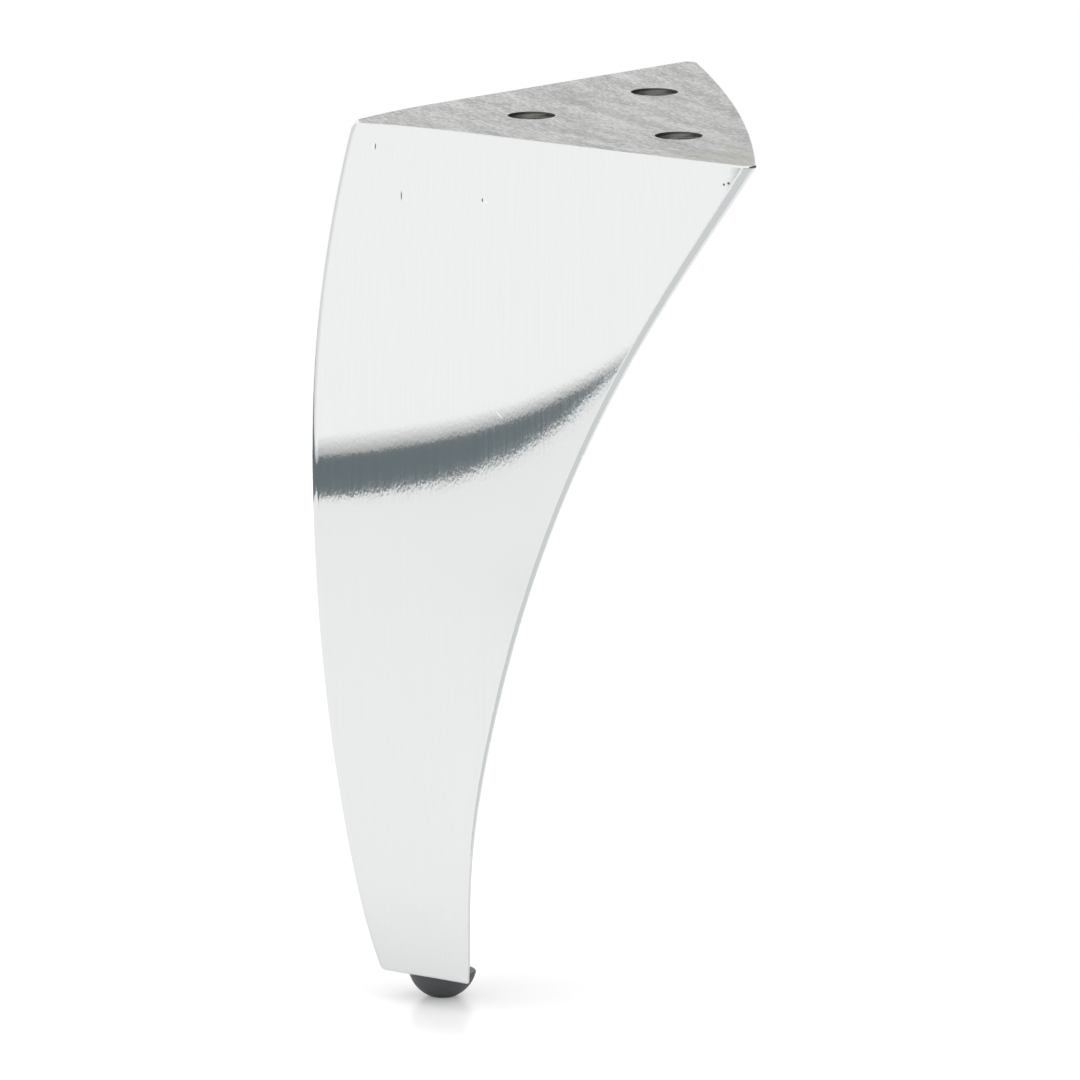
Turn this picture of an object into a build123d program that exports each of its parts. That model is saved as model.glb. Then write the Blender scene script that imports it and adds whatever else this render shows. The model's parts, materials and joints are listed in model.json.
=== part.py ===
from build123d import *
import os
from math import asin, atan, cos, hypot, radians, sin, sqrt, tan

# Polished cast aluminium furniture leg with a push-in floor glide, in millimetres.
# The mounting face lies at z = 0 and the leg reaches down from it. The origin is the middle of the
# three screw holes. The front ridge is on the -X side, and the leg is a mirror image across the XZ plane.

# Height from the floor to the mounting face
overall_height = 150.0

# Mounting face, a triangle that points to the front, measured to its sharp corners
face_depth = 63.5
face_half_width = 56.4
face_edge_radius = 0.3

# Blind M8 screw holes, at the corners of a right angle, drawn at the thread's outer diameter.
# The inset is from the inner edge of the mounting face to the axes of the two inner holes.
screw_pitch = 32.0
screw_diameter = 8.0
screw_depth = 10.0
screw_inset = 10.0
drill_point_angle = 118.0

# Front ridge, bowed outwards between the mounting face and the foot
bow_reach = 7.54
bow_drop = 56.1
front_ridge_radius = 2.2

# Ends of the front ridge. The mounting face is worn down towards the nose, and the ridge bends back a little
# above the foot.
nose_wear_length = 16.0
nose_wear_radius = 200.0
nose_radius = 2.0
toe_bend_height = 14.0
toe_bend_radius = 115.0
toe_radius = 1.2

# Foot, measured to its sharp corners
foot_setback = 4.51
foot_depth = 14.74
foot_half_width = 14.3
foot_edge_radius = 0.4

# Inner face and side faces: two straights each, joined by one long arc about the knee.
# Below its knee the inner face bends a little more, and stands upright at the foot.
inner_bend_height = 12.8
inner_bend_radius = 140.0
inner_bend_angle = 8.7
inner_knee_height = 79.6
side_knee_height = 107.4
side_lean_at_foot = 9.5
inner_crown_radius = 640.0

# Radius of the inner ridges at the mounting face. Below it, the radius shrinks with the leg's width.
inner_ridge_radius = 1.6

# Floor glide: a dome on a neck, with a stem that is pushed into the foot
glide_setback = 3.45
glide_rim_radius = 5.7
glide_rim_edge = 0.2
glide_dome_depth = 4.37
glide_tread_radius = 2.0
glide_neck_radius = 2.6
glide_neck_height = 0.43
stem_diameter = 3.9
stem_length = 8.0
stem_chamfer = 0.5
stem_clearance = 0.05
stem_end_gap = 1.0

# Number of steps between the sections that the body is lofted through
section_steps = 10

# Sizes and places that follow from the driving dimensions
leg_height = overall_height - glide_neck_height - glide_dome_depth
hole_offset = screw_pitch / sqrt(2)
front_hole_x = -hole_offset * 2 / 3
inner_hole_x = hole_offset / 3
front_corner_x = inner_hole_x + screw_inset - face_depth
foot_inner_x = front_corner_x + foot_setback + foot_depth
toe_bend_reach = toe_bend_radius - sqrt(toe_bend_radius**2 - toe_bend_height**2)
lower_bow_reach = bow_reach + foot_setback - toe_bend_reach
nose_lean = 2 * atan(bow_reach / bow_drop)
toe_lean = 2 * atan(lower_bow_reach / (leg_height - bow_drop)) + asin(toe_bend_height / toe_bend_radius)
nose_wear_lean = asin(nose_wear_length / nose_wear_radius)
nose_wear = nose_wear_radius * (1 - cos(nose_wear_lean))
nose_half_angle = atan(face_half_width / face_depth)
toe_half_angle = atan(foot_half_width / foot_depth)
nose_x = front_corner_x + front_ridge_radius * (1 / sin(nose_half_angle) - 1) - nose_wear * tan(nose_lean)
toe_x = front_corner_x + foot_setback + front_ridge_radius * (1 / sin(toe_half_angle) - 1)
glide_x = foot_inner_x - glide_setback
stem_hole_diameter = stem_diameter + 2 * stem_clearance
stem_hole_depth = stem_length + stem_end_gap
dome_rise = (glide_rim_radius**2 - glide_tread_radius**2 - glide_dome_depth**2) / (2 * glide_dome_depth)
dome_radius = hypot(glide_rim_radius, dome_rise)


def bowed_ridge(drop):
    """Setback of the front ridge at a drop below the mounting face: two arcs, upright where they meet,
    and a slight bend above the foot."""
    if drop < bow_drop:
        rise, run = bow_reach, bow_drop
    else:
        rise, run = lower_bow_reach, leg_height - bow_drop
    radius = (run**2 + rise**2) / (2 * rise)
    bend = max(0, drop - leg_height + toe_bend_height)
    bend_reach = toe_bend_radius - sqrt(toe_bend_radius**2 - bend**2)
    return radius - sqrt(radius**2 - (drop - bow_drop) ** 2) - bow_reach + bend_reach


def kneed_flank(height, base_height, base, top, base_lean, knee_height):
    """Distance of a flank at a height above the foot: two straights, with the largest arc between them."""
    knee = base + (knee_height - base_height) * tan(base_lean)
    top_lean = atan((top - knee) / (leg_height - knee_height))
    tangent = min((knee_height - base_height) / cos(base_lean), (leg_height - knee_height) / cos(top_lean))
    if height <= knee_height - tangent * cos(base_lean):
        return base + (height - base_height) * tan(base_lean)
    if height >= knee_height + tangent * cos(top_lean):
        return knee + (height - knee_height) * tan(top_lean)
    radius = tangent / tan((top_lean - base_lean) / 2)
    centre = knee - tangent * sin(base_lean) + radius * cos(base_lean)
    centre_height = knee_height - tangent * cos(base_lean) - radius * sin(base_lean)
    return centre - sqrt(radius**2 - (height - centre_height) ** 2)


def inner_flank(height):
    """Distance of the inner face at a height above the foot: an upright, a slight bend, then a knee."""
    foot = foot_setback + foot_depth
    bend = radians(inner_bend_angle)
    bend_top = inner_bend_height + inner_bend_radius * sin(bend)
    if height <= inner_bend_height:
        return foot
    if height <= bend_top:
        return foot + inner_bend_radius - sqrt(inner_bend_radius**2 - (height - inner_bend_height) ** 2)
    bend_reach = inner_bend_radius * (1 - cos(bend))
    return kneed_flank(height, bend_top, foot + bend_reach, face_depth, bend, inner_knee_height)


def side_flank(height):
    """Half the leg's width at a height above the foot."""
    lean = radians(side_lean_at_foot)
    return kneed_flank(height, 0, foot_half_width, face_half_width, lean, side_knee_height)


def drill_point(diameter):
    """Depth of the cone that a drill leaves below the wall of a blind hole."""
    return diameter / 2 / tan(radians(drill_point_angle / 2))


with BuildPart() as leg:
    # Body: three-sided sections with straight sides, a crowned inner edge and rounded ridges
    for step in range(section_steps + 1):
        drop = leg_height * step / section_steps
        height = leg_height - drop
        front_x = front_corner_x + bowed_ridge(drop)
        inner_x = front_corner_x + inner_flank(height)
        half_width = side_flank(height)
        crown = inner_crown_radius - sqrt(inner_crown_radius**2 - half_width**2)
        with BuildSketch(Plane.XY.offset(-drop)) as section:
            with BuildLine():
                Polyline((inner_x, half_width), (front_x, 0), (inner_x, -half_width))
                ThreePointArc((inner_x, -half_width), (inner_x + crown, 0), (inner_x, half_width))
            make_face()
            ridge_radius = inner_ridge_radius * half_width / face_half_width
            fillet(section.vertices().group_by(Axis.X)[-1], ridge_radius)
            fillet(section.vertices().sort_by(Axis.X)[0], front_ridge_radius)
    loft()

    # Rims of the mounting face and the foot, softened by the polishing wheel
    fillet(leg.faces().sort_by(Axis.Z)[-1].edges(), face_edge_radius)
    fillet(leg.faces().sort_by(Axis.Z)[0].edges(), foot_edge_radius)

    # Mounting face, worn down towards the nose by the sanding disc
    with BuildSketch(Plane.XZ):
        with BuildLine():
            TangentArc((nose_x + nose_wear_length, 0), (nose_x, -nose_wear), tangent=(-1, 0))
            Polyline(
                (nose_x, -nose_wear),
                (nose_x - nose_radius, -nose_wear),
                (nose_x - nose_radius, nose_radius),
                (nose_x + nose_wear_length, nose_radius),
                (nose_x + nose_wear_length, 0),
            )
        make_face()
    extrude(amount=face_half_width, both=True, mode=Mode.SUBTRACT)

    # Nose and toe, the rolled corners at the ends of the front ridge
    for corner_x, level, outward, radius, end_lean, lean in [
        (nose_x, -nose_wear, 1, nose_radius, nose_wear_lean, nose_lean),
        (toe_x, -leg_height, -1, toe_radius, 0, toe_lean),
    ]:
        run = radius * tan((radians(90) - end_lean - lean) / 2)
        roll_start = (corner_x + run * cos(end_lean), level + outward * run * sin(end_lean))
        roll_end = (corner_x - run * sin(lean), level - outward * run * cos(lean))
        with BuildSketch(Plane.XZ):
            with BuildLine():
                TangentArc(roll_start, roll_end, tangent=(-cos(end_lean), -outward * sin(end_lean)))
                Polyline(
                    roll_end,
                    (roll_end[0] - radius, roll_end[1]),
                    (roll_end[0] - radius, level + outward * radius),
                    (roll_start[0], level + outward * radius),
                    roll_start,
                )
            make_face()
        extrude(amount=face_half_width, both=True, mode=Mode.SUBTRACT)

    # Blind screw holes in the mounting face
    screw_places = [(front_hole_x, 0), (inner_hole_x, -hole_offset), (inner_hole_x, hole_offset)]
    with Locations(*screw_places):
        Hole(screw_diameter / 2, screw_depth)
    with Locations(*[(x, y, -screw_depth) for x, y in screw_places]):
        Cone(
            0,
            screw_diameter / 2,
            drill_point(screw_diameter),
            align=(Align.CENTER, Align.CENTER, Align.MAX),
            mode=Mode.SUBTRACT,
        )

    # Blind hole in the foot for the glide's stem
    with Locations((glide_x, 0, -leg_height)):
        Cylinder(
            stem_hole_diameter / 2,
            stem_hole_depth,
            align=(Align.CENTER, Align.CENTER, Align.MIN),
            mode=Mode.SUBTRACT,
        )
    with Locations((glide_x, 0, stem_hole_depth - leg_height)):
        Cone(
            stem_hole_diameter / 2,
            0,
            drill_point(stem_hole_diameter),
            align=(Align.CENTER, Align.CENTER, Align.MIN),
            mode=Mode.SUBTRACT,
        )

with BuildPart() as floor_glide:
    # Turned about the stem's axis: stem, neck, flat rim, dome and flat tread
    rim_z = -leg_height - glide_neck_height
    with BuildSketch(Plane.XZ) as glide_profile:
        with BuildLine():
            dome_start = (glide_x + glide_rim_radius, rim_z)
            dome_end = (glide_x + glide_tread_radius, rim_z - glide_dome_depth)
            Polyline(
                dome_end,
                (glide_x, rim_z - glide_dome_depth),
                (glide_x, stem_length - leg_height),
                (glide_x + stem_diameter / 2, stem_length - leg_height),
                (glide_x + stem_diameter / 2, -leg_height),
                (glide_x + glide_neck_radius, -leg_height),
                (glide_x + glide_neck_radius, rim_z),
                dome_start,
            )
            RadiusArc(dome_start, dome_end, dome_radius)
        make_face()
        fillet(glide_profile.vertices().sort_by(Axis.X)[-1], glide_rim_edge)
        chamfer(glide_profile.vertices().group_by(Axis.Y)[-1].sort_by(Axis.X)[-1], stem_chamfer)
    revolve(axis=Axis((glide_x, 0, 0), (0, 0, 1)))

leg.part.label = "leg"
floor_glide.part.label = "floor_glide"
os.makedirs("parts", exist_ok=True)
export_step(leg.part, "parts/leg.step")
export_step(floor_glide.part, "parts/floor_glide.step")
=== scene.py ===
import json
from math import cos, pi, radians, sin

import bmesh
import bpy
import numpy as np
from bpy.props import FloatProperty, FloatVectorProperty, IntProperty, PointerProperty
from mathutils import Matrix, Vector


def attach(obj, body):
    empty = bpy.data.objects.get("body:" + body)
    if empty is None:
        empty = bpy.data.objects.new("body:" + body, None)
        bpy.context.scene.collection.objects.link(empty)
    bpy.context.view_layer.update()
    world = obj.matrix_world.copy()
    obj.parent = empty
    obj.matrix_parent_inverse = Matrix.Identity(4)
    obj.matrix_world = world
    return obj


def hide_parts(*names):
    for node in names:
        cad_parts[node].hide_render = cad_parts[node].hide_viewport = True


bl_info = {
    "name": "Polished Furniture Leg",
    "version": (1, 0, 0),
    "blender": (4, 5, 0),
    "location": "View3D > Sidebar > Furniture Leg",
    "description": "Finishes a cast aluminium furniture leg and its floor glide, and sets a studio around it",
    "category": "Object",
}

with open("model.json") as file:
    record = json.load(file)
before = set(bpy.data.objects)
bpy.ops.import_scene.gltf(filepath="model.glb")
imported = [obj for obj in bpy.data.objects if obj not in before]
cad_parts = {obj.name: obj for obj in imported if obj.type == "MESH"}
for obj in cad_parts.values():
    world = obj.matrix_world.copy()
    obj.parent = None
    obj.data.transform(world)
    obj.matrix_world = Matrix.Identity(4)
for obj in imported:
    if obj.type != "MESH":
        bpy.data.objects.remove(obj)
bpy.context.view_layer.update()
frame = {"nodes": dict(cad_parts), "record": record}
mounts = {mount["name"]: mount for mount in frame["record"]["mounts"]}

MM = 0.001
FLOOR_Z = mounts["floor_tread"]["pos_m"][2]
SCREW_HOLES = ("screw_hole_front", "screw_hole_minus_y", "screw_hole_plus_y")

# Distance at which the solid's loose triangles are joined
WELD_DISTANCE = 0.001 * MM

# Area and turn that tell a triangle of a broad face from one of a rounded ridge, and the points a fit needs
BROAD_AREA = 2 * MM * MM
BROAD_TURN = cos(radians(8))
PATCH_POINTS = 7

# Upward part of a normal above which a face is level, such as the mounting face and the flat of the foot
FLAT = 0.99999

# Corners of the pale table top in millimetres, counter-clockwise. Its left edge shows in the side face.
TABLE_CORNERS = (
    (260, -300),
    (260, 500),
    (-100, 500),
    (-180, 420),
    (-335, 317),
    (-410, 215),
    (-465, 90),
    (-470, 0),
    (-430, -140),
    (-438, -170),
    (-449, -190),
    (-456, -215),
    (-460, -300),
)

# Corners in millimetres of a grey sheet of painted shade in front of the leg, shown in the ridge beside the side face
SHADE_SHEET_CORNERS = ((-300, -300), (260, -300), (260, 60), (60, -30), (7, -52), (-40, -75))
SHADE_SHEET_THICKNESS = 0.1 * MM

# Stretches of the tent's walls, in Y: where the dim hem grows from a share of its height to all of it, and where the
# wall's light fades beyond the leg
HEM_GROWS = (-125 * MM, -85 * MM)
HEM_START_SHARE = 0.4
WALL_FADES = (-5 * MM, 110 * MM)

# Distance within which a point belongs to a wall of the tent
WALL_MARGIN = 1 * MM

# Depth that the sanding reaches where the mounting face is worn at the nose, the upward part of a normal below which
# it stops, and the range over which it does
SANDED_DEPTH = 1.0 * MM
SANDED_LEAN = cos(radians(10))
SANDED_SOFTNESS = 0.03

# Middle of the sanding arcs, as a share of their radius from the middle of the screw holes
SANDING_CENTRE = Vector((0.92, 0.39, 0))

# Short grain and broad blotches among the sanding scratches: sizes as shares of a scratch's width and length.
# The scratches are mixed into the grain, and the blotches into both.
SANDING_GRAIN = (0.7, 0.35)
SANDING_BLOTCH = (8, 6)
SCRATCH_MIX = 0.45
BLOTCH_MIX = 0.25

# Reach of the drilled look round a screw hole's axis, as a share of the hole's radius
BORE_REACH = 1.01

# Size of the torn marks that the tap leaves, drawn out round the hole
TEAR_SIZES = (MM, MM, MM / 6)

# Handling marks on the side face that the photograph shows: middle, half sizes in millimetres, and lean
DARK_MARKS = (
    ((-41.6, -4.7, -4.1), (0.12, 1.5, 0.7), 0.1),
    ((-37.6, -9.3, -11.7), (0.12, 1.5, 1.0), 0.0),
    ((-24.9, -19.6, -10.9), (0.15, 1.5, 0.4), 0.0),
    ((12.4, -51.4, -3.5), (0.22, 1.5, 0.3), 0.0),
    ((13.1, -52.0, -3.2), (0.3, 1.5, 0.3), 0.0),
)
# Painted glints: white spots on the rims of two pits and along one scratch
GLINT_MARKS = (
    ((-22.4, -22.4, -46.6), (0.14, 1.5, 1.05), -0.7),
    ((-41.9, -4.4, -4.2), (0.12, 1.5, 0.6), 0.1),
    ((-24.3, -20.1, -11.2), (0.2, 1.5, 0.3), 0.0),
)

# Share of a mark's half sizes within which it has its full strength
MARK_CORE = 0.4

# Stain on the mounting face, which warms its colour: middle and half sizes in millimetres, and strength
WARM_STAIN = ((14, -46, 0), (16, 12, 8))
WARM_STRENGTH = 0.5

# Brightness of the low parts of a pattern, as a share of its colour
BELT_SHADE = 0.98
SANDING_SHADE = 0.52
TEAR_SHADE = 0.6
GRAIN_SHADE = 0.8

# Range that most of a noise lies in, and the narrow one that turns a noise into scratches
NOISE_RANGE = (0.3, 0.7)
SCRATCH_RANGE = (0.42, 0.58)

# Roughness of scratched, sanded and drilled metal, and how much rougher the belt lines are than the polish
DULL = 0.5
BELT_ROUGHENING = 1.6

# Metric thread: depth, half widths at the wall and at the crest, and run-out, all as shares of the pitch
THREAD_DEPTH = 0.5413
THREAD_ROOT = 7 / 16
THREAD_CREST = 1 / 8
THREAD_FADE = 1 / 3

WHITE = (1.0, 1.0, 1.0)


def linear(code):
    """An sRGB hex colour as linear red, green and blue."""
    channels = [int(code[i : i + 2], 16) / 255 for i in (1, 3, 5)]
    return tuple(c / 12.92 if c <= 0.04045 else ((c + 0.055) / 1.055) ** 2.4 for c in channels)


def add_node(tree, kind, inputs=None, **settings):
    """Adds a node, applies its settings, and sets or links its inputs."""
    node = tree.nodes.new(kind)
    for name, value in settings.items():
        setattr(node, name, value)
    for name, value in (inputs or {}).items():
        if isinstance(value, bpy.types.NodeSocket):
            tree.links.new(value, node.inputs[name])
        else:
            node.inputs[name].default_value = value
    return node


def new_material(name):
    """An empty node material, with its node tree."""
    material = bpy.data.materials.new(name)
    material.use_nodes = True
    material.node_tree.nodes.clear()
    return material, material.node_tree


def rgba(colour):
    """A colour with full opacity, as a socket takes it."""
    return (*colour, 1.0)


def new_piece(name, bm, material):
    """Makes an object of a bmesh, at the origin with its place in its mesh."""
    mesh = bpy.data.meshes.new(name)
    bm.to_mesh(mesh)
    bm.free()
    mesh.materials.append(material)
    piece = bpy.data.objects.new(name, mesh)
    bpy.context.scene.collection.objects.link(piece)
    return piece


# Settings


class AluminiumFinish(bpy.types.PropertyGroup):
    """Looks of the cast, polished, sanded and drilled aluminium"""

    metal_colour: FloatVectorProperty(
        name="Metal colour",
        description="Colour of the polished faces",
        subtype="COLOR",
        size=3,
        min=0,
        max=1,
        default=linear("#eff1f0"),
    )
    sanded_colour: FloatVectorProperty(
        name="Sanded colour",
        description="Colour of the sanded mounting face",
        subtype="COLOR",
        size=3,
        min=0,
        max=1,
        default=linear("#d8d8d7"),
    )
    # Dull cut metal of the holes, painted darker as the shade inside them
    bore_shade_colour: FloatVectorProperty(
        name="Bore colour",
        description="Colour of the drilled and tapped holes, which keep some cutting oil",
        subtype="COLOR",
        size=3,
        min=0,
        max=1,
        default=linear("#82827e"),
    )
    scratch_colour: FloatVectorProperty(
        name="Scratch colour",
        description="Colour of the scratches and pits on the polished faces",
        subtype="COLOR",
        size=3,
        min=0,
        max=1,
        default=linear("#606264"),
    )
    warm_colour: FloatVectorProperty(
        name="Warm colour",
        description="Colour of the stained patch on the mounting face",
        subtype="COLOR",
        size=3,
        min=0,
        max=1,
        default=linear("#b0aea6"),
    )
    polish_line_width: FloatProperty(
        name="Polish line width",
        description="Width of the lines that the polishing belt leaves",
        unit="LENGTH",
        default=0.35 * MM,
    )
    polish_line_length: FloatProperty(
        name="Polish line length",
        description="Length of the lines that the polishing belt leaves",
        unit="LENGTH",
        default=18 * MM,
    )
    sanding_line_width: FloatProperty(
        name="Sanding line width",
        description="Width of the scratches on the sanded face, drawn coarse enough to show",
        unit="LENGTH",
        default=0.45 * MM,
    )
    sanding_line_length: FloatProperty(
        name="Sanding line length",
        description="Length of the scratches on the sanded face",
        unit="LENGTH",
        default=4 * MM,
    )
    sanding_sweep: FloatProperty(
        name="Sanding sweep",
        description="Radius of the arcs that the sanding disc leaves",
        unit="LENGTH",
        default=260 * MM,
    )
    polish_depth: FloatProperty(
        name="Polish depth",
        description="Depth of the polishing lines",
        unit="LENGTH",
        precision=6,
        default=0.0001 * MM,
    )
    ripple_size: FloatProperty(
        name="Ripple size", description="Size of the ripple in the polish", unit="LENGTH", default=0.4 * MM
    )
    ripple_depth: FloatProperty(
        name="Ripple depth",
        description="Depth of the ripple in the polish",
        unit="LENGTH",
        precision=6,
        default=0.0016 * MM,
    )
    sanding_depth: FloatProperty(
        name="Sanding depth",
        description="Depth of the sanding scratches",
        unit="LENGTH",
        precision=6,
        default=0.02 * MM,
    )
    tear_depth: FloatProperty(
        name="Tear depth",
        description="Depth of the torn marks that the tap leaves",
        unit="LENGTH",
        precision=6,
        default=0.03 * MM,
    )
    roughness: FloatProperty(
        name="Roughness", description="Roughness of the polished faces", subtype="FACTOR", min=0, max=1, default=0.03
    )
    crease_angle: FloatProperty(
        name="Crease angle",
        description="Angle above which an edge of the leg is shaded as sharp",
        unit="ROTATION",
        default=radians(50),
    )


class ThreadSizes(bpy.types.PropertyGroup):
    """Sizes of the threads in the screw holes"""

    pitch: FloatProperty(
        name="Pitch", description="Pitch of the metric coarse thread", unit="LENGTH", default=1.25 * MM
    )
    steps: IntProperty(name="Steps", description="Faces round one turn of the thread", min=8, default=48)


class GlideFinish(bpy.types.PropertyGroup):
    """Looks of the floor glide's plastic"""

    plastic_colour: FloatVectorProperty(
        name="Plastic colour",
        description="Colour of the floor glide",
        subtype="COLOR",
        size=3,
        min=0,
        max=1,
        default=linear("#55575a"),
    )
    grain_size: FloatProperty(
        name="Grain size", description="Grain of the mould's eroded wall", unit="LENGTH", default=0.25 * MM
    )
    grain_depth: FloatProperty(
        name="Grain depth",
        description="Depth of the mould's grain",
        unit="LENGTH",
        precision=6,
        default=0.02 * MM,
    )


class StageSettings(bpy.types.PropertyGroup):
    """Table, tent, light and camera round the leg"""

    floor_colour: FloatVectorProperty(
        name="Floor colour",
        description="Colour of the table top as the metal mirrors it",
        subtype="COLOR",
        size=3,
        min=0,
        max=1,
        default=linear("#f9f9f9"),
    )
    seen_floor_colour: FloatVectorProperty(
        name="Seen floor colour",
        description="Colour of the table top as the camera sees it",
        subtype="COLOR",
        size=3,
        min=0,
        max=1,
        default=(0.98, 0.98, 0.98),
    )
    floor_glow: FloatProperty(
        name="Floor glow",
        description="Light that lifts the table top to white for the camera alone",
        subtype="FACTOR",
        min=0,
        max=1,
        default=0.2,
    )
    # Painted shade: the grey of the glowing sheet in front of the leg
    shade_sheet_colour: FloatVectorProperty(
        name="Cloth colour",
        description="Colour of the cloth in front of the leg",
        subtype="COLOR",
        size=3,
        min=0,
        max=1,
        default=linear("#d8dadc"),
    )
    tent_reach: FloatProperty(
        name="Tent reach",
        description="Distance of the tent's left and right walls",
        unit="LENGTH",
        default=227.5 * MM,
    )
    tent_gap: FloatProperty(
        name="Tent gap", description="Height of the tent's hem above the table", unit="LENGTH", default=57.7 * MM
    )
    hem_height: FloatProperty(
        name="Hem height", description="Height of the dim hem of the tent", unit="LENGTH", default=6 * MM
    )
    tent_half_depth: FloatProperty(
        name="Tent half depth",
        description="Distance of the tent's front and back walls",
        unit="LENGTH",
        default=500 * MM,
    )
    tent_height: FloatProperty(
        name="Tent height", description="Height of the tent's walls", unit="LENGTH", default=500 * MM
    )
    hem_glow: FloatProperty(
        name="Hem glow", description="Light of the tent's hem", subtype="FACTOR", min=0, max=1, default=0.42
    )
    far_glow: FloatProperty(
        name="Far glow",
        description="Light of the left wall beyond the leg",
        subtype="FACTOR",
        min=0,
        max=1,
        default=0.78,
    )
    right_glow: FloatProperty(
        name="Right glow", description="Light of the right wall", subtype="FACTOR", min=0, max=1, default=0.12
    )
    sky_strength: FloatProperty(
        name="Sky strength",
        description="Strength of the sky as light, which is 1 where it is seen or mirrored",
        subtype="FACTOR",
        min=0,
        max=1,
        default=0.85,
    )
    gap_colour: FloatVectorProperty(
        name="Gap colour",
        description="Colour of the room that shows between the table and the tent",
        subtype="COLOR",
        size=3,
        min=0,
        max=1,
        default=linear("#6c757a"),
    )
    lamp_size: FloatProperty(
        name="Lamp size", description="Width of the soft lamp", unit="LENGTH", default=350 * MM
    )
    lamp_power: FloatProperty(name="Lamp power", description="Power of the soft lamp", unit="POWER", default=1.6)
    lamp_place: FloatVectorProperty(
        name="Lamp place",
        description="Middle of the soft lamp, which faces the middle of the screw holes",
        subtype="TRANSLATION",
        size=3,
        default=(100 * MM, -120 * MM, 750 * MM),
    )
    view_azimuth: FloatProperty(
        name="View azimuth", description="Turn of the camera round the leg", unit="ROTATION", default=radians(-4.753)
    )
    view_elevation: FloatProperty(
        name="View elevation",
        description="Height of the camera above the horizon",
        unit="ROTATION",
        default=radians(10.686),
    )
    view_distance: FloatProperty(
        name="View distance", description="Distance of the camera from its aim", unit="LENGTH", default=2987.2 * MM
    )
    view_aim: FloatVectorProperty(
        name="View aim",
        description="Point that the middle of the picture shows",
        subtype="TRANSLATION",
        size=3,
        default=(-14.97 * MM, -15.69 * MM, -69.22 * MM),
    )
    lens: FloatProperty(name="Lens", description="Focal length in millimetres", unit="CAMERA", default=596.7)


# Materials


def stretched_noise(tree, place, sizes, detail=3.0, roughness=0.5):
    """Noise whose blotches have the given sizes along the axes of a place."""
    mapped = add_node(tree, "ShaderNodeMapping", {"Vector": place, "Scale": [1 / size for size in sizes]})
    noise = add_node(
        tree,
        "ShaderNodeTexNoise",
        {"Vector": mapped.outputs[0], "Scale": 1.0, "Detail": detail, "Roughness": roughness},
    )
    return noise.outputs["Fac"]


def calc(tree, operation, *values):
    """One step of arithmetic on values or sockets."""
    return add_node(tree, "ShaderNodeMath", dict(enumerate(values)), operation=operation).outputs[0]


def spread(tree, value, low, high, to_low=0.0, to_high=1.0):
    """Maps a range of a value to another, clamped at its ends."""
    ranges = {"Value": value, "From Min": low, "From Max": high, "To Min": to_low, "To Max": to_high}
    return add_node(tree, "ShaderNodeMapRange", ranges).outputs[0]


def blend(tree, factor, first, second):
    """Mixes two colours, given as sockets or as red, green and blue. They are inputs 6 and 7 of a mix node."""
    pair = [c if isinstance(c, bpy.types.NodeSocket) else rgba(c) for c in (first, second)]
    return add_node(tree, "ShaderNodeMix", {0: factor, 6: pair[0], 7: pair[1]}, data_type="RGBA").outputs[2]


def blend_value(tree, factor, first, second):
    """Mixes two numbers, which are inputs 2 and 3 of a mix node."""
    return add_node(tree, "ShaderNodeMix", {0: factor, 2: first, 3: second}, data_type="FLOAT").outputs[0]


def shade(colour, share):
    """A colour made darker."""
    return [channel * share for channel in colour]


def mark(tree, place, centre, sizes, lean=0.0):
    """A soft-edged spot about a point, 1 in its middle, with its own sizes and lean."""
    mapped = add_node(
        tree,
        "ShaderNodeMapping",
        {
            "Vector": place,
            "Location": Vector(centre) * MM,
            "Rotation": (0, lean, 0),
            "Scale": Vector(sizes) * MM,
        },
        vector_type="TEXTURE",
    )
    reach = add_node(tree, "ShaderNodeVectorMath", {0: mapped.outputs[0]}, operation="LENGTH").outputs["Value"]
    return spread(tree, reach, MARK_CORE, 1.0, 1.0, 0.0)


def all_marks(tree, marks):
    """The strongest of several marks."""
    strongest = marks[0]
    for other in marks[1:]:
        strongest = calc(tree, "MAXIMUM", strongest, other)
    return strongest


def sanding_lines(tree, place, finish):
    """Scratches drawn out along arcs about a point beside the face, as a sanding disc leaves them."""
    centre = SANDING_CENTRE * finish.sanding_sweep
    from_centre = add_node(tree, "ShaderNodeVectorMath", {0: place, 1: centre}, operation="SUBTRACT").outputs[0]
    ring = add_node(tree, "ShaderNodeVectorMath", {0: from_centre}, operation="LENGTH").outputs["Value"]
    turned = add_node(tree, "ShaderNodeSeparateXYZ", {0: from_centre})
    turn = calc(tree, "ARCTAN2", turned.outputs["Y"], turned.outputs["X"])
    arc = calc(tree, "MULTIPLY", turn, finish.sanding_sweep)
    swept = add_node(tree, "ShaderNodeCombineXYZ", {"X": ring, "Y": arc}).outputs[0]
    width, length = finish.sanding_line_width, finish.sanding_line_length
    grain_sizes = (width * SANDING_GRAIN[0], length * SANDING_GRAIN[1], MM)
    blotch_sizes = (width * SANDING_BLOTCH[0], length * SANDING_BLOTCH[1], MM)
    grain = stretched_noise(tree, swept, grain_sizes, detail=2.0, roughness=0.6)
    scratches = stretched_noise(tree, swept, (width, length, MM), detail=3.0, roughness=0.6)
    blotches = stretched_noise(tree, swept, blotch_sizes, detail=2.0)
    scratched = blend_value(tree, SCRATCH_MIX, grain, scratches)
    return spread(tree, blend_value(tree, BLOTCH_MIX, scratched, blotches), *SCRATCH_RANGE)


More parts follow.
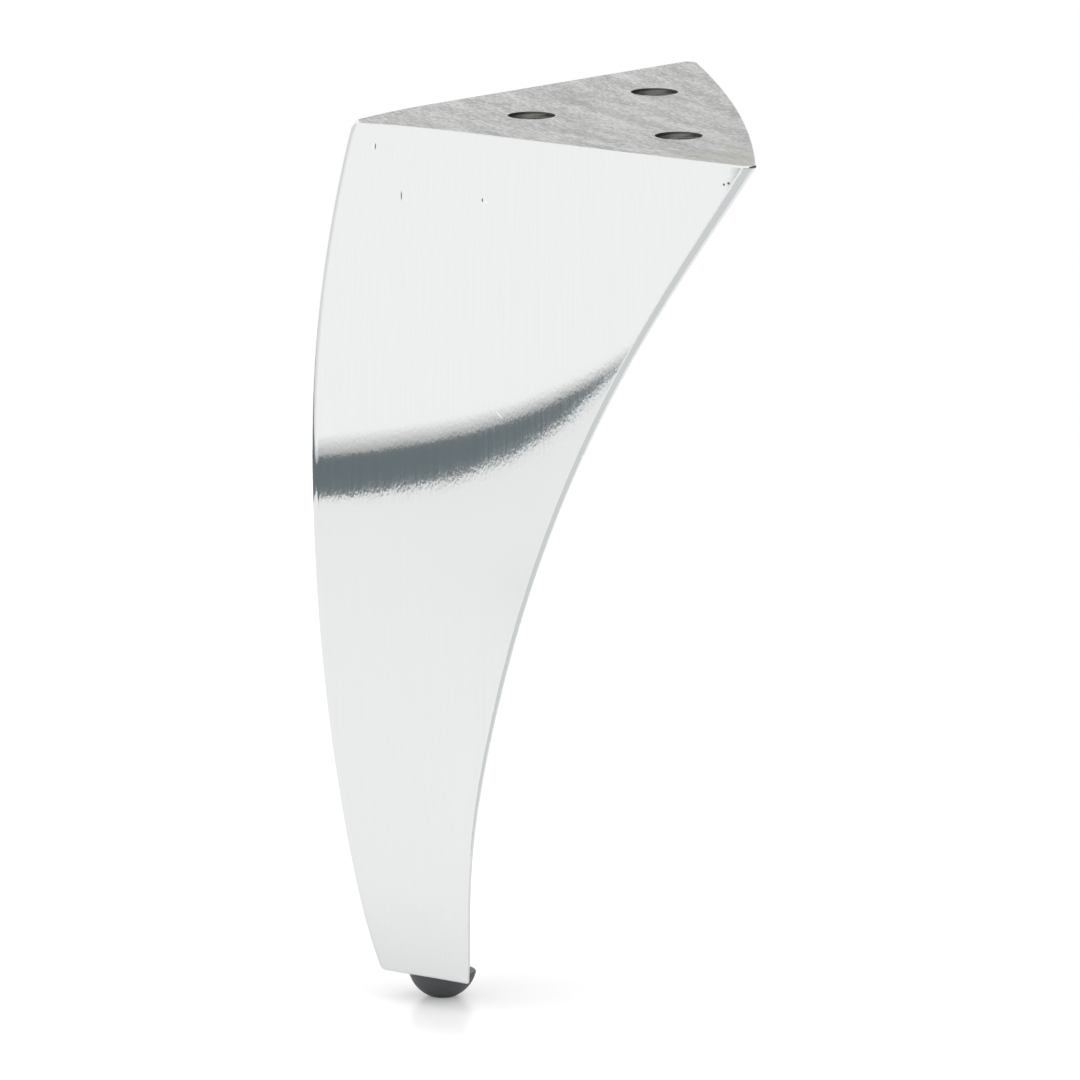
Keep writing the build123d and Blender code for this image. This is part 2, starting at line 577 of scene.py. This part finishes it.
def cast_aluminium(finish):
    """Cast aluminium, polished on a belt along the leg, sanded flat on the mounting face, drilled in the holes.
    The belt leaves fine upright lines that fray a mirrored edge, and the sanded face is grey and dull."""
    material, tree = new_material("polished_cast_aluminium")
    coordinates = add_node(tree, "ShaderNodeTexCoord").outputs
    place = coordinates["Object"]
    axes = add_node(tree, "ShaderNodeSeparateXYZ", {0: place})
    level = add_node(tree, "ShaderNodeCombineXYZ", {"X": axes.outputs["X"], "Y": axes.outputs["Y"]}).outputs[0]
    upward = add_node(tree, "ShaderNodeSeparateXYZ", {0: coordinates["Normal"]}).outputs["Z"]
    near_top = calc(tree, "GREATER_THAN", axes.outputs["Z"], -SANDED_DEPTH)
    on_top = calc(tree, "MULTIPLY", spread(tree, upward, SANDED_LEAN - SANDED_SOFTNESS, SANDED_LEAN), near_top)

    # The hole walls that show between the threads: dull cut metal, painted darker as the shade inside the holes
    bores = []
    for name in SCREW_HOLES:
        axis = Vector((*mounts[name]["pos_m"][:2], 0))
        reach = add_node(tree, "ShaderNodeVectorMath", {0: level, 1: axis}, operation="DISTANCE").outputs["Value"]
        bores.append(calc(tree, "LESS_THAN", reach, mounts[name]["dims"]["r_mm"] * MM * BORE_REACH))
    in_bore = calc(tree, "MULTIPLY", all_marks(tree, bores), calc(tree, "SUBTRACT", 1.0, on_top))

    # Belt lines along the leg, and the faint ripple that a soft polishing mop leaves
    width, length = finish.polish_line_width, finish.polish_line_length
    belt = stretched_noise(tree, place, (width, width, length))
    ripple_sizes = (finish.ripple_size, finish.ripple_size, finish.ripple_size * 2)
    ripple = stretched_noise(tree, place, ripple_sizes, detail=1.0)
    sanding = sanding_lines(tree, place, finish)

    # Handling marks: dark scratches and pits, painted glints on their rims and along one scratch,
    # and a stain on the mounting face
    dark = all_marks(tree, [mark(tree, place, *spot) for spot in DARK_MARKS])
    painted_glint = all_marks(tree, [mark(tree, place, *spot) for spot in GLINT_MARKS])
    warm = calc(tree, "MULTIPLY", mark(tree, place, *WARM_STAIN), WARM_STRENGTH)

    lines = spread(tree, belt, *NOISE_RANGE)
    polished = blend(tree, lines, shade(finish.metal_colour, BELT_SHADE), finish.metal_colour)
    polished = blend(tree, dark, polished, finish.scratch_colour)
    # Painted glints, which turn the metal white
    polished = blend(tree, painted_glint, polished, WHITE)
    sanded = blend(tree, sanding, shade(finish.sanded_colour, SANDING_SHADE), finish.sanded_colour)
    sanded = blend(tree, warm, sanded, finish.warm_colour)
    colour = blend(tree, on_top, polished, sanded)
    # Painted shade on the hole walls
    colour = blend(tree, in_bore, colour, finish.bore_shade_colour)

    rough = spread(tree, belt, *NOISE_RANGE, finish.roughness, finish.roughness * BELT_ROUGHENING)
    for dulled in (calc(tree, "MAXIMUM", dark, painted_glint), on_top, in_bore):
        rough = blend_value(tree, dulled, rough, DULL)

    # On the polished faces the relief is a micrometre or two, far below what a finger feels
    belt_relief = calc(tree, "MULTIPLY", belt, finish.polish_depth)
    polished_relief = calc(tree, "MULTIPLY_ADD", ripple, finish.ripple_depth, belt_relief)
    relief = blend_value(tree, on_top, polished_relief, calc(tree, "MULTIPLY", sanding, finish.sanding_depth))
    bump = add_node(tree, "ShaderNodeBump", {"Height": relief, "Strength": 1.0, "Distance": 1.0}).outputs[0]
    shader = add_node(
        tree,
        "ShaderNodeBsdfPrincipled",
        {"Base Color": colour, "Metallic": 1.0, "Roughness": rough, "Normal": bump},
    )
    add_node(tree, "ShaderNodeOutputMaterial", {"Surface": shader.outputs[0]})
    return material


def tapped_aluminium(finish):
    """Aluminium as a tap cuts it: dull and torn along the turns, and painted dark as the shade inside a hole, so a
    hole looks nearly black.
    """
    material, tree = new_material("tapped_aluminium")
    place = add_node(tree, "ShaderNodeTexCoord").outputs["Object"]
    tear = stretched_noise(tree, place, TEAR_SIZES)
    colour = blend(tree, tear, shade(finish.bore_shade_colour, TEAR_SHADE), finish.bore_shade_colour)
    bump = add_node(tree, "ShaderNodeBump", {"Height": tear, "Distance": finish.tear_depth}).outputs[0]
    shader = add_node(
        tree,
        "ShaderNodeBsdfPrincipled",
        {"Base Color": colour, "Metallic": 1.0, "Roughness": 0.4, "Normal": bump},
    )
    add_node(tree, "ShaderNodeOutputMaterial", {"Surface": shader.outputs[0]})
    return material


def moulded_plastic(finish):
    """Black polyethylene, moulded against an eroded wall: a fine even grain with a soft sheen."""
    material, tree = new_material("moulded_black_polyethylene")
    place = add_node(tree, "ShaderNodeTexCoord").outputs["Object"]
    grain = stretched_noise(tree, place, [finish.grain_size] * 3, detail=2.0)
    colour = blend(tree, grain, shade(finish.plastic_colour, GRAIN_SHADE), finish.plastic_colour)
    bump = add_node(tree, "ShaderNodeBump", {"Height": grain, "Distance": finish.grain_depth}).outputs[0]
    shader = add_node(
        tree,
        "ShaderNodeBsdfPrincipled",
        {"Base Color": colour, "Roughness": 0.42, "IOR": 1.5, "Normal": bump},
    )
    add_node(tree, "ShaderNodeOutputMaterial", {"Surface": shader.outputs[0]})
    return material


# Pieces


class LEG_OT_polish_leg(bpy.types.Operator):
    """Gives the leg a smooth skin of polished, sanded and drilled aluminium"""

    bl_idname = "furniture_leg.polish_leg"
    bl_label = "Polish Leg"

    def execute(self, context):
        finish = context.scene.leg_aluminium
        bm = bmesh.new()
        bm.from_mesh(frame["nodes"]["leg"].data)
        bmesh.ops.remove_doubles(bm, verts=bm.verts, dist=WELD_DISTANCE)
        for edge in bm.edges:
            edge.smooth = edge.calc_face_angle(0) < finish.crease_angle
        bm.verts.index_update()
        normals = [self.fitted_normal(vert) for vert in bm.verts]
        casting = new_piece("leg_casting", bm, cast_aluminium(finish))
        mesh = casting.data
        mesh.normals_split_custom_set([normals[loop.vertex_index] for loop in mesh.loops])
        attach(casting, "root")
        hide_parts("leg")
        return {"FINISHED"}

    def fitted_normal(self, vert):
        """The normal of a curved patch fitted to a vertex and the faces round it. The solid's triangles are scattered
        on the rounded ridges, and the mean of their normals would break up what the metal mirrors. At the border
        of a broad face the patch is that face alone, and on a ridge it is the ridge alone. Where two sharp edges
        meet, each face keeps its own normal, which a null vector asks for."""
        if sum(not edge.smooth for edge in vert.link_edges) > 1:
            return (0, 0, 0)
        around = {face for ring in vert.link_faces for other in ring.verts for face in other.link_faces}
        broadest = max(vert.link_faces, key=lambda face: face.calc_area())
        if abs(broadest.normal.z) > FLAT:
            return broadest.normal.copy()
        if broadest.calc_area() > BROAD_AREA:
            patch = [face for face in around if face.calc_area() > BROAD_AREA]
            patch = [face for face in patch if face.normal.dot(broadest.normal) > BROAD_TURN]
        else:
            patch = [face for face in around if face.calc_area() <= BROAD_AREA]
        mean = sum((face.normal * face.calc_area() for face in vert.link_faces if face in patch), Vector())
        near = {other for face in patch for other in face.verts} - {vert}
        if len(near) < PATCH_POINTS:
            return mean.normalized()
        up = vert.normal
        along = up.orthogonal().normalized()
        across = up.cross(along)
        offsets = np.array([other.co - vert.co for other in near])
        u, v, w = offsets @ np.array(along), offsets @ np.array(across), offsets @ np.array(up)
        weight = 1 / (offsets**2).sum(axis=1)
        terms = np.stack([u, v, u * u, u * v, v * v], axis=1)
        slopes = np.linalg.lstsq(terms * weight[:, None], w * weight, rcond=None)[0]
        fitted = (up - along * float(slopes[0]) - across * float(slopes[1])).normalized()
        return fitted if fitted.dot(mean.normalized()) > BROAD_TURN else mean.normalized()


class LEG_OT_tap_holes(bpy.types.Operator):
    """Cuts a metric coarse thread in each screw hole"""

    bl_idname = "furniture_leg.tap_holes"
    bl_label = "Tap Holes"

    def execute(self, context):
        sizes = context.scene.leg_thread
        material = tapped_aluminium(context.scene.leg_aluminium)
        for name in SCREW_HOLES:
            self.tap(mounts[name], sizes, material)
        return {"FINISHED"}

    def tap(self, hole, sizes, material):
        """A ridge with sloping flanks, wound down the wall of one hole and faded out at both ends."""
        pitch = sizes.pitch
        wall = hole["dims"]["r_mm"] * MM
        crest = wall - pitch * THREAD_DEPTH
        middle = Vector(hole["pos_m"])
        mouth = middle.z + hole["dims"]["length_mm"] * MM / 2
        turns = int(hole["dims"]["length_mm"] * MM / pitch) - 1
        top = mouth - pitch / 2
        bm = bmesh.new()
        ridge = ((wall, THREAD_ROOT), (crest, THREAD_CREST), (crest, -THREAD_CREST), (wall, -THREAD_ROOT))
        profile = [bm.verts.new((middle.x + radius, middle.y, top + rise * pitch)) for radius, rise in ridge]
        edges = [bm.edges.new((profile[i - 1], profile[i])) for i in range(len(profile))]
        steps = turns * sizes.steps
        swept = bmesh.ops.spin(
            bm,
            geom=profile + edges,
            cent=(middle.x, middle.y, 0),
            axis=(0, 0, 1),
            dvec=(0, 0, -turns * pitch / steps),
            angle=2 * pi * turns,
            steps=steps,
            use_merge=False,
            use_duplicate=False,
        )
        bmesh.ops.contextual_create(bm, geom=profile)
        last = [item for item in swept["geom_last"] if isinstance(item, bmesh.types.BMVert)]
        bmesh.ops.contextual_create(bm, geom=last)

        # The crest sinks into the wall at both ends
        fade = pitch * THREAD_FADE
        for vert in bm.verts:
            out = vert.co - Vector((middle.x, middle.y, vert.co.z))
            if out.length < (wall + crest) / 2:
                run_in = min(top - vert.co.z, vert.co.z - top + turns * pitch)
                share = min(1, max(0, run_in / fade))
                radius = wall + (crest - wall) * share
                vert.co = vert.co - out + out.normalized() * radius
        bmesh.ops.recalc_face_normals(bm, faces=bm.faces)
        thread = new_piece(hole["name"] + "_thread", bm, material)
        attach(thread, "root")


class LEG_OT_mould_glide(bpy.types.Operator):
    """Gives the floor glide its moulded black plastic"""

    bl_idname = "furniture_leg.mould_glide"
    bl_label = "Mould Glide"

    def execute(self, context):
        frame["nodes"]["floor_glide"].data.materials[0] = moulded_plastic(context.scene.leg_glide)
        return {"FINISHED"}


class LEG_OT_set_stage(bpy.types.Operator):
    """Sets a pale table, a light tent, soft light and the camera round the leg"""

    bl_idname = "furniture_leg.set_stage"
    bl_label = "Set Stage"

    def execute(self, context):
        settings = context.scene.leg_stage
        self.lay_table(settings)
        self.lay_shade_sheet(settings)
        self.hang_tent(settings)
        self.light_room(settings)
        self.hang_lamp(settings)
        self.place_camera(settings)
        context.scene.view_settings.view_transform = "Standard"
        return {"FINISHED"}

    def lay_table(self, settings):
        """A pale glossy table top that the camera sees as white, apart from the shadow."""
        material, tree = new_material("white_table_laminate")
        camera_ray = add_node(tree, "ShaderNodeLightPath").outputs["Is Camera Ray"]
        shader = add_node(
            tree,
            "ShaderNodeBsdfPrincipled",
            {
                "Base Color": blend(tree, camera_ray, settings.floor_colour, settings.seen_floor_colour),
                "Roughness": 0.26,
                "Specular IOR Level": 0.35,
                "Emission Color": rgba(WHITE),
                "Emission Strength": calc(tree, "MULTIPLY", camera_ray, settings.floor_glow),
            },
        )
        add_node(tree, "ShaderNodeOutputMaterial", {"Surface": shader.outputs[0]})
        self.lay_flat("table", TABLE_CORNERS, FLOOR_Z, material)

    def lay_shade_sheet(self, settings):
        """A grey glowing sheet on the table in front of the leg, painted shade that is seen only in the polished
        metal.
        """
        material, tree = new_material("grey_cloth")
        shader = add_node(tree, "ShaderNodeEmission", {"Color": rgba(settings.shade_sheet_colour)})
        add_node(tree, "ShaderNodeOutputMaterial", {"Surface": shader.outputs[0]})
        self.show_in_metal_only(self.lay_flat("cloth", SHADE_SHEET_CORNERS, FLOOR_Z + SHADE_SHEET_THICKNESS, material))

    def hang_tent(self, settings):
        """White cloth walls round the leg with an open hem, seen only in the polished metal."""
        material, tree = new_material("white_tent_cloth")
        place = add_node(tree, "ShaderNodeTexCoord").outputs["Object"]
        axes = add_node(tree, "ShaderNodeSeparateXYZ", {0: place}).outputs
        hem = FLOOR_Z + settings.tent_gap
        reach, depth = settings.tent_reach, settings.tent_half_depth

        # The left wall is lit, has a dim hem and fades beyond the leg. The right wall is dark, the back wall white.
        full_hem = settings.hem_height
        hem_height = spread(tree, axes["Y"], *HEM_GROWS, full_hem * HEM_START_SHARE, full_hem)
        above = calc(tree, "DIVIDE", calc(tree, "SUBTRACT", axes["Z"], hem), hem_height)
        lit = spread(tree, above, 0.0, 1.0, settings.hem_glow, 1.0)
        fade = spread(tree, axes["Y"], *WALL_FADES, 1.0, settings.far_glow)
        on_right = calc(tree, "GREATER_THAN", axes["X"], reach - WALL_MARGIN)
        at_back = calc(tree, "GREATER_THAN", axes["Y"], depth - WALL_MARGIN)
        glow = blend_value(tree, on_right, calc(tree, "MULTIPLY", lit, fade), settings.right_glow)
        glow = blend_value(tree, at_back, glow, 1.0)
        shader = add_node(tree, "ShaderNodeEmission", {"Color": rgba(WHITE), "Strength": glow})
        add_node(tree, "ShaderNodeOutputMaterial", {"Surface": shader.outputs[0]})

        # Four walls above the hem, and a backdrop that carries the back wall down to the table
        half_height = settings.tent_height / 2
        bm = bmesh.new()
        walls = bmesh.ops.create_cube(bm, size=2)["verts"]
        lids = [face for face in bm.faces if abs(face.normal.z) > FLAT]
        bmesh.ops.delete(bm, geom=lids, context="FACES_ONLY")
        bmesh.ops.scale(bm, vec=(reach, depth, half_height), verts=walls)
        bmesh.ops.translate(bm, vec=(0, 0, hem + half_height), verts=walls)
        backdrop = ((-reach, FLOOR_Z), (reach, FLOOR_Z), (reach, hem), (-reach, hem))
        bm.faces.new([bm.verts.new((x, depth, z)) for x, z in backdrop])
        self.show_in_metal_only(self.show("light_tent", bm, material))

    def lay_flat(self, name, corners, height, material):
        """A flat piece of the stage, with its corners in millimetres."""
        bm = bmesh.new()
        bm.faces.new([bm.verts.new((x * MM, y * MM, height)) for x, y in corners])
        return self.show(name, bm, material)

    def show(self, name, bm, material):
        """Makes an object of a bmesh, with its material."""
        piece = new_piece(name, bm, material)
        return piece

    def show_in_metal_only(self, piece):
        """Hides a piece of the stage from all rays but mirrored ones."""
        piece.visible_camera = False
        piece.visible_diffuse = False
        piece.visible_shadow = False

    def light_room(self, settings):
        """An even white sky, dark below the horizon, and white all round to the camera."""
        world = bpy.data.worlds.new("studio")
        world.use_nodes = True
        tree = world.node_tree
        tree.nodes.clear()
        direction = add_node(tree, "ShaderNodeTexCoord").outputs["Generated"]
        height = add_node(tree, "ShaderNodeSeparateXYZ", {0: direction}).outputs["Z"]
        sky = calc(tree, "GREATER_THAN", height, 0.0)
        path = add_node(tree, "ShaderNodeLightPath").outputs
        white = calc(tree, "MAXIMUM", sky, path["Is Camera Ray"])
        colour = blend(tree, white, settings.gap_colour, WHITE)
        seen = calc(tree, "MAXIMUM", path["Is Camera Ray"], path["Is Glossy Ray"])
        strength = blend_value(tree, seen, settings.sky_strength, 1.0)
        background = add_node(tree, "ShaderNodeBackground", {"Color": colour, "Strength": strength})
        add_node(tree, "ShaderNodeOutputWorld", {"Surface": background.outputs[0]})
        bpy.context.scene.world = world

    def hang_lamp(self, settings):
        """A broad soft lamp overhead, which isn't mirrored in the metal."""
        lamp = bpy.data.lights.new("soft_lamp", "AREA")
        lamp.size = settings.lamp_size
        lamp.energy = settings.lamp_power
        piece = bpy.data.objects.new(lamp.name, lamp)
        bpy.context.scene.collection.objects.link(piece)
        piece.location = settings.lamp_place
        piece.rotation_euler = piece.location.to_track_quat("Z", "Y").to_euler()
        piece.visible_glossy = False

    def place_camera(self, settings):
        """Puts the camera where the photograph was taken from."""
        camera = bpy.data.cameras.new("camera")
        camera.lens = settings.lens
        eye = bpy.data.objects.new("camera", camera)
        bpy.context.scene.collection.objects.link(eye)
        turn, rise = settings.view_azimuth, settings.view_elevation
        back = Vector((sin(turn) * cos(rise), -cos(turn) * cos(rise), sin(rise)))
        eye.location = Vector(settings.view_aim) + back * settings.view_distance
        eye.rotation_euler = (-back).to_track_quat("-Z", "Y").to_euler()
        bpy.context.scene.camera = eye


SETTINGS = {
    "leg_aluminium": AluminiumFinish,
    "leg_thread": ThreadSizes,
    "leg_glide": GlideFinish,
    "leg_stage": StageSettings,
}
OPERATORS = (LEG_OT_polish_leg, LEG_OT_tap_holes, LEG_OT_mould_glide, LEG_OT_set_stage)


class LEG_PT_sidebar(bpy.types.Panel):
    """Lists the steps that finish the leg"""

    bl_idname = "LEG_PT_sidebar"
    bl_label = "Furniture Leg"
    bl_space_type = "VIEW_3D"
    bl_region_type = "UI"
    bl_category = "Furniture Leg"

    def draw(self, context):
        for operator in OPERATORS:
            self.layout.operator(operator.bl_idname)
        for name in SETTINGS:
            box = self.layout.box()
            group = getattr(context.scene, name)
            for key in group.__annotations__:
                box.prop(group, key)


CLASSES = (*SETTINGS.values(), *OPERATORS, LEG_PT_sidebar)


def register():
    for cls in CLASSES:
        bpy.utils.register_class(cls)
    for name, group in SETTINGS.items():
        setattr(bpy.types.Scene, name, PointerProperty(type=group))


def unregister():
    for name in SETTINGS:
        delattr(bpy.types.Scene, name)
    for cls in reversed(CLASSES):
        bpy.utils.unregister_class(cls)


def main():
    """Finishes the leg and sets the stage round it."""
    register()
    bpy.ops.furniture_leg.polish_leg()
    bpy.ops.furniture_leg.tap_holes()
    bpy.ops.furniture_leg.mould_glide()
    bpy.ops.furniture_leg.set_stage()


if __name__ == "__main__":
    main()
